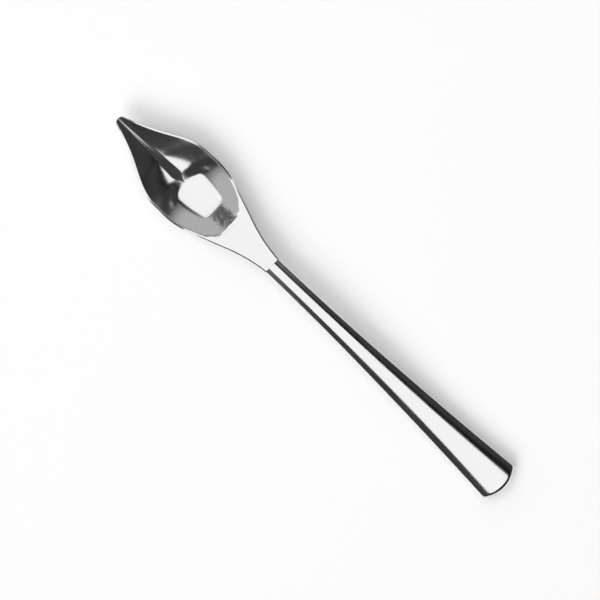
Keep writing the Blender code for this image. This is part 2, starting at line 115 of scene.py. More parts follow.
class BowlSizes(bpy.types.PropertyGroup):
    """Sizes of the leaf bowl with its pouring point, shoulder and neck."""

    length: length("Pouring point to the joint at the neck", 0.0815)
    width: length("Across the widest place", 0.0298)
    widest_along: length("Distance of the widest place from the point", 0.0368)
    point_width: length("Across the end of the pouring point", 0.0031)
    point_flare: share("Slope of the outline where it leaves the point", 0.32)
    point_reach: length("How far the slope of the point is felt", 0.0205)
    cheek_reach: length("Roundness of the outline in front of the widest place", 0.0142)
    hip_reach: length("Roundness of the outline behind the widest place", 0.0171)
    neck_width: length("Across the neck at the joint", 0.0070)
    neck_flare: share("Slope of the outline where it reaches the joint", 0.09)
    neck_reach: length("How far the slope of the neck is felt", 0.0197)
    depth: length("Rim to the deepest place inside", 0.0059)
    point_depth: length("Depth of the groove at the point", 0.0008)
    point_fall: share("Slope of the keel where it leaves the point", 0.21)
    groove_length: length("From the point to the drop into the bowl", 0.0304)
    groove_depth: length("Rim to the keel where the groove ends", 0.0046)
    groove_fall: share("Slope of the keel where the groove ends", 0.02)
    drop_length: length("The groove drops into the bowl over this distance", 0.0054)
    drop_sweep: length("The drop lies this much further back towards the sides", 0.0060)
    drop_reach: length("How far the slope of the groove carries into the drop", 0.0006)
    keel_reach: length("How early the drop levels out", 0.0006)
    hollow_length: length("Deepest place to the lip at the shoulder", 0.0254)
    neck_rise: length("Height of the neck above the rim", 0.0011)
    point_roundness: share("1 is a plain V groove, 2 a round trough", 1.12)
    groove_roundness: share("The same where the groove ends", 1.2)
    belly_roundness: share("How flat the floor of the bowl is, 2 for a plain round", 3.54)
    wall_start: share("Where the straight walls start, as a share of the width", 0.69)
    belly_length: length("The groove opens into the bowl over this distance", 0.0054)
    point_softness: share("Width of the flat ledge beside the crease at the point", 0.05)
    keel_softness: share("The same where the groove ends", 0.75)
    ledge_start: length("The ledge starts to widen at this distance from the point", 0.0215)
    point_crease: share("Sharp crease at the point, as a share of the width", 0.10)
    crease_width: share("Sharp crease in the groove, as a share of the width", 0.15)
    crease_slope: share("Slope of the sides of the crease", 0.42)
    hollow_corner: share("How square the back end of the hollow is", 3.1)
    lip_softness: length("Rounding where the hollow meets the shoulder", 0.0006)
    point_setback: length("The corners of the rounded point lie this far back", 0.0012)
    rim_tilt: angle("Slope of the ground strip along the rim", 33)
    rim_strip: length("Width of the ground strip along the shoulder", 0.00045)
    rim_round: share("Rounding of the rim, as a share of the faces beside its edges", 0.1)
    sheet: length("Thickness of the metal", 0.0015)
    point_sheet: length("Thickness of the metal at the point", 0.0006)
    point_thinning: length("The metal thins over this distance", 0.0180)
    neck_thickening: length("The neck thickens over this distance", 0.0215)
    stem_squareness: share("2 is a round stem under the neck", 4.7)
    tang_length: length("The tang reaches this far into the handle", 0.0450)
    tang_thickness: length("Thickness of the tang", 0.0014)
    tang_width: length("Across the tang at the joint", 0.0033)
    tang_end_width: length("Across the end of the tang", 0.0022)
    tang_root: length("The tang starts this far in front of the joint", 0.0030)
    tang_drop: length("The tang lies this far below the middle of the joint", 0.0003)
    tang_edge: length("Rounding of the edges of the tang", 0.0002)
    rim_lean: length("A rim that leans out this far is ground in full", 0.0006)
    ripple_start: length("The ripples start this far in front of the lip", 0.0105)
    ripple_full: length("They are at their highest from here", 0.0075)
    ripple_fade: length("They start to fade this far in front of the lip", 0.0022)
    ripple_end: length("They end this far in front of the lip", 0.0010)
    ripple_height: length("Height of the ripples", 0.00045)
    ripple_strength: share("How much of that height shows", 0.5)
    ripple_scale: share("How close together the ripples lie", 360.0)


class HandleSizes(bpy.types.PropertyGroup):
    """Sizes of the two shells of the hollow handle."""

    length: length("Joint to the end of the butt", 0.1231)
    butt_width: length("Across the corners of the butt", 0.0168)
    flare_start: share("Slope of the sides at the joint", 0.0003)
    flare_end: share("Slope of the sides at the butt", 0.066)
    butt_bulge: length("The rounded end stands this far past its corners", 0.00275)
    front_crest: length("Seam to the top at the joint", 0.0029)
    front_keel: length("Seam to the underside at the joint", 0.0027)
    butt_crest: length("Seam to the top at the butt", 0.0035)
    butt_keel: length("Seam to the underside at the butt", 0.0031)
    side_land: length("Upright side of the upper shell", 0.0013)
    side_round: length("Rounding of the sides of the lower shell", 0.0024)
    heel_length: length("Flat stretch that rests on the table", 0.0140)
    arch_reach: length("How far the slope of the neck carries into the handle", 0.0480)
    heel_reach: length("How early the handle levels out before the heel", 0.0460)
    wall: length("Thickness of the shells", 0.0006)
    butt_round: length("Rounding of the edges of the butt", 0.0015)
    edge_round: length("Rounding where the crown meets the side", 0.0003)
    seam_gap: length("Hairline between pieces that meet", 0.00003)


class SteelFinish(bpy.types.PropertyGroup):
    """Colours and polish of the metal and of the bedding."""

    bowl_colour: colour("Tint of the mirror polished bowl", (0.83, 0.83, 0.825))
    handle_colour: colour("Tint of the polished handle", (0.83, 0.83, 0.825))
    bedding_colour: colour("Tint of the cement around the tang", (0.42, 0.40, 0.37))
    bowl_polish: share("Roughness of the bowl", 0.16)
    handle_polish: share("Roughness of the handle", 0.13)


class StageSizes(bpy.types.PropertyGroup):
    """The table, the lamps and the camera."""

    floor_size: length("Side of the white table", 12.0)
    floor_colour: colour("Tint of the table", (0.97, 0.97, 0.97))
    camera_height: length("Camera above the spoon", 1.2)
    camera_turn: angle("Turn of the picture about the upright axis", 43.66)
    frame_width: length("Width of the picture at the height of the spoon", 0.22922)
    aim_along: length("Middle of the picture along the spoon", -0.00402)
    aim_across: length("Middle of the picture across the spoon", -0.00215)
    aim_height: length("Height that the picture's width is taken at", 0.008)
    panel_height: length("Height of the soft light above the table", 1.3)
    panel_front: length("Edge of the soft light on the side of the pouring point", -1.16)
    panel_back: length("Edge of the soft light on the side of the butt", 0.58)
    panel_near: length("Edge of the soft light on the lit side", -1.1)
    panel_far: length("Edge of the soft light on the shadow side", 0.72)
    panel_brightness: share("Brightness of the soft light as seen in the metal", 1.10)
    key_strength: share("Strength of the soft key lamp", 1.55)
    fill_strength: share("Strength of the wide fill light", 0.67)
    room_dark: share("Brightness of the dark part of the room", 0.04)
    room_grey: share("Brightness of the room beyond the pouring point", 0.50)
    gap_turn: angle("Side of the dark gap in the grey part of the room", 186)
    gap_level: share("Level part of the way towards the gap", 0.84)
    gap_rise: share("Upright part of the way towards the gap", 0.54)
    gap_shade: share("Share of the brightness that is left in the gap", 0.2)


PROPERTY_GROUPS = {
    "spoon_bowl": BowlSizes,
    "spoon_handle": HandleSizes,
    "spoon_finish": SteelFinish,
    "spoon_stage": StageSizes,
}


def eased(value):
    """A share from 0 to 1 that starts and ends gently."""
    value = min(max(value, 0.0), 1.0)
    return value * value * (3 - 2 * value)


def stretch(*corners):
    """Distances and values along one Bezier stretch with four corners."""
    points = interpolate_bezier(*[Vector((*corner, 0.0)) for corner in corners], CURVE_STEPS)
    return np.array(points)[:, :2].T


class BowlForm:
    """Works out where the metal of the bowl lies."""

    def __init__(self, bowl, handle):
        self.sizes = bowl
        self.handle = handle
        self.deepest = bowl.groove_length + bowl.drop_length
        widest = bowl.width / 2
        point = bowl.point_width / 2
        neck = bowl.neck_width / 2
        cheek = stretch(
            (0, point),
            (bowl.point_reach, point + bowl.point_reach * bowl.point_flare),
            (bowl.widest_along - bowl.cheek_reach, widest),
            (bowl.widest_along, widest),
        )
        hip = stretch(
            (bowl.widest_along, widest),
            (bowl.widest_along + bowl.hip_reach, widest),
            (bowl.length - bowl.neck_reach, neck + bowl.neck_reach * bowl.neck_flare),
            (bowl.length, neck),
        )
        self.outline = np.hstack((cheek, hip))
        third = bowl.groove_length / 3
        groove = stretch(
            (0, bowl.point_depth),
            (third, bowl.point_depth + third * bowl.point_fall),
            (bowl.groove_length - third, bowl.groove_depth - third * bowl.groove_fall),
            (bowl.groove_length, bowl.groove_depth),
        )
        drop = stretch(
            (bowl.groove_length, bowl.groove_depth),
            (bowl.groove_length + bowl.drop_reach, bowl.groove_depth + bowl.drop_reach * bowl.groove_fall),
            (self.deepest - bowl.keel_reach, bowl.depth),
            (self.deepest, bowl.depth),
        )
        self.keel = np.hstack((groove, drop))
        self.neck_slope = 2 * bowl.neck_rise / (bowl.length - self.deepest)
        pitch = math.atan(self.neck_slope)
        self.joint_along = bowl.length + handle.front_crest * math.sin(pitch)
        rim_height = bowl.depth + bowl.sheet
        self.joint_height = rim_height + bowl.neck_rise - handle.front_crest * math.cos(pitch)
        self.middle = (self.joint_along + handle.length) / 2

    def behind_deepest(self, along):
        """0 up to the deepest place, rising to 1 where the hollow ends."""
        return max(0.0, (along - self.deepest) / self.sizes.hollow_length)

    def belly(self, along):
        """0 over the pouring groove, rising to 1 where it has opened into the bowl."""
        return eased((along - self.sizes.groove_length) / self.sizes.belly_length)

    def groove_power(self, along):
        """Roundness of the groove's section."""
        bowl = self.sizes
        forward = max(0.0, 1 - along / bowl.groove_length)
        return bowl.groove_roundness + (bowl.point_roundness - bowl.groove_roundness) * forward

    def softness(self, along):
        """Width of the flat ledge on both sides of the crease, as a share of the width."""
        bowl = self.sizes
        widening = (along - bowl.ledge_start) / (bowl.groove_length - bowl.ledge_start)
        return bowl.point_softness + (bowl.keel_softness - bowl.point_softness) * min(max(widening, 0.0), 1.0)

    def swept(self, along, out):
        """The distance along that counts for the drop, which lies further back towards the sides."""
        bowl = self.sizes
        sweep = bowl.drop_sweep * (math.hypot(out, SWEEP_SOFTNESS) - SWEEP_SOFTNESS)
        return along - sweep * eased(along / bowl.groove_length)

    def groove_rise(self, along, out):
        """Rise of the groove's side, from 0 at the keel to 1 at the rim."""
        power = self.groove_power(along)
        soft = self.softness(along)
        floor = soft**power
        return (math.hypot(out, soft) ** power - floor) / (math.hypot(1, soft) ** power - floor)

    def wall_slope(self):
        """Slope of the bowl's straight walls, for a depth and a half width of 1."""
        power = self.sizes.belly_roundness
        return 1 / (1 - self.sizes.wall_start * (power - 1) / power)

    def belly_rise(self, out):
        """Rise of the bowl's side: a rounded floor that runs out into straight walls."""
        power = self.sizes.belly_roundness
        start = self.sizes.wall_start
        if out < start:
            return self.wall_slope() * start / power * (out / start) ** power
        return self.wall_slope() * (start / power + out - start)

    def rim_slope(self, along):
        """Slope of the side where it reaches the rim, for a half width of 1."""
        groove = self.groove_power(along)
        slope = groove + (self.wall_slope() - groove) * self.belly(along)
        return slope * np.interp(along, *self.keel)

    def edge_sheet(self, along):
        """Thickness of the metal at the rim."""
        bowl = self.sizes
        return bowl.sheet + (bowl.point_sheet - bowl.sheet) * (1 - eased(along / bowl.point_thinning))

    def sheet(self, along, across):
        """Thickness of the metal: a rounded stem grows under the neck."""
        bowl = self.sizes
        neck = eased(1 - (bowl.length - along) / bowl.neck_thickening)
        stem = math.sqrt(max(0.0, 1 - abs(across) ** bowl.stem_squareness))
        return self.edge_sheet(along) + (self.thickest() - bowl.sheet) * neck * stem

    def thickest(self):
        """Thickness of the neck at the joint."""
        return self.handle.front_crest + self.handle.front_keel

    def half_width(self, along):
        """Half the width inside the rim, whose edge stands square to the wall."""
        outer = np.interp(along, *self.outline)
        slope = self.rim_slope(along) / outer
        tilt = math.atan(slope) * max(0.0, 1 - self.behind_deepest(along))
        return outer - self.edge_sheet(along) * math.sin(tilt)

    def crease(self, along, across):
        """Extra depth of the sharp crease along the groove."""
        inside = max(0.0, self.crease_share(along) * (1 - self.belly(along)) - abs(across))
        return self.sizes.crease_slope * np.interp(along, *self.outline) * inside

    def crease_share(self, along):
        """Half the width of the crease, as a share of half the width of the bowl."""
        bowl = self.sizes
        grown = min(along / bowl.groove_length, 1.0)
        return bowl.point_crease + (bowl.crease_width - bowl.point_crease) * grown

    def shoulder_strip(self, along, across):
        """Depth of the ground strip along the edges of the flat shoulder."""
        bowl = self.sizes
        inside = (1 - abs(across)) * self.half_width(along)
        shoulder = eased((self.behind_deepest(along) - STRIP_START) / STRIP_GROWTH)
        return max(0.0, bowl.rim_strip - inside) * math.tan(bowl.rim_tilt) * shoulder

    def depth(self, along, across):
        """Depth below the rim line, with across from -1 at one edge to 1 at the other."""
        bowl = self.sizes
        corner = bowl.hollow_corner
        behind = self.behind_deepest(along)
        out = (behind**corner + abs(across) ** corner) ** (1 / corner)
        swept = self.swept(along, out)
        groove = self.groove_rise(swept, out)
        rise = groove + (self.belly_rise(out) - groove) * self.belly(swept)
        depth = np.interp(swept, *self.keel) * (1 - rise)
        if behind == 0:
            return depth + self.crease(along, across)
        lip = 2 * bowl.lip_softness * min(behind, 1.0)
        return (depth + math.hypot(depth, lip)) / 2

    def point(self, along, across):
        """Place of the upper face of the metal, with the corners of the pouring point rounded off."""
        bowl = self.sizes
        rounded = 1 - math.sqrt(max(0.0, 1 - across**2))
        along += bowl.point_setback * rounded * (1 - eased(along / (POINT_FADE * bowl.point_setback)))
        rising = max(0.0, along - self.deepest) / (bowl.length - self.deepest)
        height = bowl.depth + bowl.sheet + bowl.neck_rise * rising**2 - self.depth(along, across)
        return Vector((along - self.middle, across * self.half_width(along), height))


class HandleForm:
    """Works out where the two shells of the handle lie."""

    def __init__(self, bowl_form):
        handle = bowl_form.handle
        self.sizes = handle
        self.start = bowl_form.joint_along - bowl_form.middle
        self.joint_height = bowl_form.joint_height
        self.joint_slope = bowl_form.neck_slope
        self.heel = handle.length - handle.heel_length
        self.corner = handle.length - handle.butt_bulge
        half = bowl_form.sizes.neck_width / 2
        butt = handle.butt_width / 2
        third = self.corner / 3
        self.sides = stretch(
            (0, half),
            (third, half + third * handle.flare_start),
            (self.corner - third, butt - third * handle.flare_end),
            (self.corner, butt),
        )
        self.seam = stretch(
            (0, self.joint_height),
            (handle.arch_reach, self.joint_height + handle.arch_reach * self.joint_slope),
            (self.heel - handle.heel_reach, handle.butt_keel),
            (self.heel, handle.butt_keel),
        )

    def half_width(self, back):
        return float(np.interp(back, *self.sides))

    def grown(self, front, butt, back):
        """A size that changes from the joint to the heel."""
        return front + (butt - front) * eased(back / self.heel)

    def pitch(self, back):
        """Slope angle of the seam."""
        if back <= 0:
            return math.atan(self.joint_slope)
        step = self.sizes.length / CURVE_STEPS
        rise = np.interp(back + step, *self.seam) - np.interp(max(back - step, 0), *self.seam)
        return math.atan(rise / (step + min(back, step)))

    def point(self, back, across, above):
        """Place by the distance behind the joint, across, and above the seam, square to its slope."""
        seam = np.interp(back, *self.seam)
        if back < 0:
            seam = self.joint_height + back * self.joint_slope
        pitch = self.pitch(back)
        x = self.start + back - above * math.sin(pitch)
        return Vector((x, across, seam + above * math.cos(pitch)))

    def bulge(self, back, across):
        """How far the rounded butt carries this place past its corners."""
        handle = self.sizes
        half = handle.butt_width / 2
        radius = (half**2 + handle.butt_bulge**2) / (2 * handle.butt_bulge)
        reach = math.sqrt(max(radius**2 - across**2, 0.0)) - (radius - handle.butt_bulge)
        return reach * eased((back - self.heel) / (self.corner - self.heel))

    def crown(self, back, turn):
        """Across and above the seam on the upper shell: a turn of 0 is on the crest, 1 at the edge."""
        half = self.half_width(back)
        land = self.sizes.side_land
        crest = self.grown(self.sizes.front_crest, self.sizes.butt_crest, back) - land
        radius = (half**2 + crest**2) / (2 * crest)
        tilt = math.asin(half / radius) * turn
        return radius * math.sin(tilt), land + crest - radius * (1 - math.cos(tilt))

    def upper(self, back, turn):
        """As crown, with the upright side past a turn of 1."""
        if turn > 1:
            return self.half_width(back), self.sizes.seam_gap / 2
        return self.crown(back, turn)

    def lower(self, back, turn):
        """Across and above the seam on the lower shell: a turn of 0 is under the middle, 1 at the seam."""
        half = self.half_width(back)
        gap = self.sizes.seam_gap / 2
        keel = self.grown(self.sizes.front_keel, self.sizes.butt_keel, back)
        rounding = min(self.sizes.side_round, half)
        if turn <= FLAT_SHARE:
            return (half - rounding) * turn / FLAT_SHARE, -keel
        tilt = math.pi / 2 * (1 - turn) / (1 - FLAT_SHARE)
        return half - rounding * (1 - math.cos(tilt)), -gap - (keel - gap) * math.sin(tilt)


def new_sheet(name, rows, columns):
    """A flat grid in edit mode, with nothing selected, and its corners by row and column."""
    bpy.ops.object.select_all(action="DESELECT")
    bpy.ops.mesh.primitive_grid_add(x_subdivisions=rows, y_subdivisions=columns, size=1)
    sheet = bpy.context.object
    sheet.name = name
    sheet.data.name = name
    bpy.ops.object.mode_set(mode="EDIT")
    bpy.ops.mesh.select_mode(type="VERT")
    bpy.ops.mesh.select_all(action="DESELECT")
    mesh = bmesh.from_edit_mesh(sheet.data)
    corners = {}
    for vertex in mesh.verts:
        row = round((vertex.co.x + 0.5) * rows)
        column = round((vertex.co.y + 0.5) * columns) - columns // 2
        corners[row, column] = vertex
    return sheet, mesh, corners


def put_pair(corners, row, column, place):
    """Moves two corners at the same distance from the middle plane, one here and one opposite."""
    pair = {corners[row, column], corners[row, -column]}
    for vertex in pair:
        vertex.select_set(True)
    vertex = corners[row, column]
    if column:
        wider = place.y / vertex.co.y
        bpy.ops.transform.resize(value=(1, wider, 1), center_override=(0, 0, 0))
    bpy.ops.transform.translate(value=(place.x - vertex.co.x, 0, place.z - vertex.co.z))
    for vertex in pair:
        vertex.select_set(False)


def pick_edges(mesh, wanted):
    """Selects only the edges that are wanted."""
    bpy.ops.mesh.select_mode(type="EDGE")
    bpy.ops.mesh.select_all(action="DESELECT")
    for edge in mesh.edges:
        if wanted(edge):
            edge.select_set(True)
    mesh.select_flush_mode()


def add_wall(piece, thickness, crease):
    """Thickens an open sheet towards its back, with edges as crisp as the crease from 0 to 1."""
    wall = piece.modifiers.new("wall", "SOLIDIFY")
    wall.thickness = thickness
    wall.offset = -1
    wall.use_even_offset = True
    for part in ("inner", "outer", "rim"):
        setattr(wall, "edge_crease_" + part, crease)
    return wall


def add_smoothing(piece, levels):
    smoothing = piece.modifiers.new("smoothing", "SUBSURF")
    smoothing.levels = levels
    smoothing.render_levels = levels
    smoothing.boundary_smooth = "PRESERVE_CORNERS"


def apply_modifiers(piece):
    """Applies the modifiers in their order and shades the piece smooth."""
    bpy.ops.object.select_all(action="DESELECT")
    piece.select_set(True)
    bpy.context.view_layer.objects.active = piece
    for modifier in list(piece.modifiers):
        bpy.ops.object.modifier_apply(modifier=modifier.name)
    bpy.ops.object.shade_smooth_by_angle(angle=SMOOTH_ANGLE)


def hand_over(piece, node, material):
    """Gives the piece its material and lets it stand for a solid of the frame."""
    piece.data.materials.clear()
    piece.data.materials.append(material)
    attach(piece, "root")
    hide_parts(node)


class NodeMaker:
    """Adds and links the nodes of a material or of the room."""

    def __init__(self, owner, coordinates):
        owner.use_nodes = True
        self.nodes = owner.node_tree.nodes
        self.links = owner.node_tree.links
        self.place = self.nodes.new("ShaderNodeTexCoord").outputs[coordinates]

    def towards(self, way):
        """The part of the coordinates that lies along a way."""
        part = self.nodes.new("ShaderNodeVectorMath")
        part.operation = "DOT_PRODUCT"
        part.inputs[1].default_value = way
        self.links.new(self.place, part.inputs[0])
        return part.outputs["Value"]

    def spread(self, value, low, high, new_low=0.0, new_high=1.0):
        """Carries a stretch of values over to another, eased and held at its ends."""
        spread = self.nodes.new("ShaderNodeMapRange")
        spread.interpolation_type = "SMOOTHSTEP"
        for name, number in zip(("From Min", "From Max", "To Min", "To Max"), (low, high, new_low, new_high)):
            spread.inputs[name].default_value = number
        self.links.new(value, spread.inputs["Value"])
        return spread.outputs["Result"]

    def combine(self, operation, first, second):
        """Adds or multiplies two values."""
        maths = self.nodes.new("ShaderNodeMath")
        maths.operation = operation
        for value, socket in zip((first, second), maths.inputs):
            if isinstance(value, bpy.types.NodeSocket):
                self.links.new(value, socket)
            else:
                socket.default_value = value
        return maths.outputs["Value"]


class MaterialMaker(NodeMaker):
    """Adds and links the nodes of one material."""

    def __init__(self, name):
        self.material = bpy.data.materials.new(name)
        super().__init__(self.material, "Object")
        self.shader = self.nodes["Principled BSDF"]

    def stretched(self, scale):
        """Object coordinates, drawn out differently along each axis."""
        mapping = self.nodes.new("ShaderNodeMapping")
        mapping.inputs["Scale"].default_value = scale
        self.links.new(self.place, mapping.inputs["Vector"])
        return mapping.outputs["Vector"]

    def noise(self, scale, detail, roughness=0.5):
        """Cloudy pattern from 0 to 1, at a scale for each axis."""
        noise = self.nodes.new("ShaderNodeTexNoise")
        noise.inputs["Scale"].default_value = 1.0
        noise.inputs["Detail"].default_value = detail
        noise.inputs["Roughness"].default_value = roughness
        self.links.new(self.stretched(scale), noise.inputs["Vector"])
        return noise.outputs["Fac"]

    def tint(self, value, dark, light):
        """Mixes two colours by a value from 0 to 1."""
        ramp = self.nodes.new("ShaderNodeValToRGB")
        ramp.color_ramp.elements[0].color = (*dark, 1.0)
        ramp.color_ramp.elements[1].color = (*light, 1.0)
        self.links.new(value, ramp.inputs["Fac"])
        return ramp.outputs["Color"]

    def bump(self, height, strength, distance):
        """Adds relief on top of what the material has already."""
        bump = self.nodes.new("ShaderNodeBump")
        bump.inputs["Strength"].default_value = strength
        bump.inputs["Distance"].default_value = distance
        self.links.new(height, bump.inputs["Height"])
        previous = self.shader.inputs["Normal"].links
        if previous:
            self.links.new(previous[0].from_socket, bump.inputs["Normal"])
        self.links.new(bump.outputs["Normal"], self.shader.inputs["Normal"])


def polished_steel(name, tint, polish, line_scale, smudge_scale):
    """Polished steel with fine polishing lines and faint smudges."""
    steel = MaterialMaker(name)
    steel.shader.inputs["Metallic"].default_value = 1.0
    lines = steel.noise(line_scale, detail=3.0, roughness=0.6)
    smudges = steel.noise((smudge_scale,) * 3, detail=4.0)
    smudged = steel.spread(smudges, low=0.45, high=0.75, new_high=SMUDGE_ROUGHNESS)
    lined = steel.spread(lines, 0.3, 0.8, *LINE_ROUGHNESS)
    worn = steel.combine("ADD", smudged, lined)
    steel.links.new(steel.combine("ADD", worn, polish), steel.shader.inputs["Roughness"])
    cloudy = steel.noise((smudge_scale * 0.5,) * 3, detail=2.0)
    darker = [part * CLOUD_SHADE for part in tint]
    steel.links.new(steel.tint(cloudy, darker, tint), steel.shader.inputs["Base Color"])
    steel.bump(lines, LINE_STRENGTH, LINE_HEIGHT)
    return steel


def spread_from_crease(column, half_columns, crease):
    """Where a column lies across the bowl, when the first columns fill the crease."""
    inner = half_columns // CREASE_PART
    if column <= inner:
        return crease * column / inner
    return crease + (1 - crease) * ((column - inner) / (half_columns - inner)) ** COLUMN_SPREAD


def crease_along(mesh, corners, row, columns):
    """Keeps the edges from this row to the next one crisp, and leaves them selected."""
    bpy.ops.mesh.select_all(action="DESELECT")
    for column in columns:
        corners[row, column].select_set(True)
        corners[row + 1, column].select_set(True)
    mesh.select_flush(True)
    bpy.ops.transform.edge_crease(value=1)


def row_along(form, row, rows):
    """Distance along of a row, when half of the rows lie in front of the deepest place."""
    front = rows // 2
    if row <= front:
        return form.deepest * row / front
    return form.deepest + (form.sizes.length - form.deepest) * (row - front) / (rows - front)


def shape_leaf(form, rows, columns):
    """The upper face of the bowl as an open sheet, whose rows are widened, dished and put in place."""
    sheet, mesh, corners = new_sheet("leaf_bowl", rows, columns)
    half_columns = columns // 2
    inner = half_columns // CREASE_PART
    for row in range(rows + 1):
        along = row_along(form, row, rows)
        crease = form.crease_share(along) * (1 - CREASE_CLOSING * form.belly(along))
        for column in range(half_columns + 1):
            at_keel = spread_from_crease(column, half_columns, crease)
            at_edges = math.sin(column / half_columns * math.pi / 2)
            across = at_keel + (at_edges - at_keel) * min(form.behind_deepest(along), 1.0)
            put_pair(corners, row, column, form.point(along, across))
    for row in range(rows):
        opened = form.belly(row_along(form, row, rows))
        if opened < CREASE_END:
            crease_along(mesh, corners, row, (0,))
        if 0 < opened < CREASE_END:
            crease_along(mesh, corners, row, (-inner, inner))
            bpy.ops.mesh.mark_sharp()
    bpy.ops.mesh.select_all(action="SELECT")
    bpy.ops.mesh.normals_make_consistent(inside=False)
    bpy.ops.object.mode_set(mode="OBJECT")
    if sheet.data.polygons[0].normal.z < 0:
        sheet.data.flip_normals()
    return sheet


def shape_tang(form, handle_form):
    """The bar that holds the bowl in the handle: a block whose end is drawn out along the handle."""
    bowl = form.sizes
    handle = form.handle
    level = (handle.front_crest - handle.front_keel) / 2 - bowl.tang_drop
    start = -bowl.tang_root
    first = handle_form.point(start, 0, level)
    bpy.ops.object.select_all(action="DESELECT")
    bpy.ops.mesh.primitive_cube_add(size=1, location=first)
    tang = bpy.context.object
    tang.name = "tang"
    bpy.ops.object.mode_set(mode="EDIT")
    bpy.ops.transform.resize(value=(TANG_BLOCK, bowl.tang_width, bowl.tang_thickness), center_override=first)
    bpy.ops.mesh.select_mode(type="FACE")
    bpy.ops.mesh.select_all(action="DESELECT")
    mesh = bmesh.from_edit_mesh(tang.data)
    max(mesh.faces, key=lambda face: face.calc_center_median().x).select_set(True)
    here = first
    narrowing = (bowl.tang_end_width / bowl.tang_width) ** (1 / TANG_STEPS)
    for step in range(1, TANG_STEPS + 1):
        back = start + (bowl.tang_length - start) * step / TANG_STEPS
        there = handle_form.point(back, 0, level)
        bpy.ops.mesh.extrude_region_move(TRANSFORM_OT_translate={"value": there - here})
        bpy.ops.transform.resize(value=(1, narrowing, 1), center_override=there)
        here = there
    bpy.ops.object.mode_set(mode="OBJECT")
    bpy.ops.object.transform_apply(location=True, rotation=True, scale=True)
    edges = tang.modifiers.new("edges", "BEVEL")
    edges.width = bowl.tang_edge
    edges.segments = 2
    apply_modifiers(tang)
    return tang


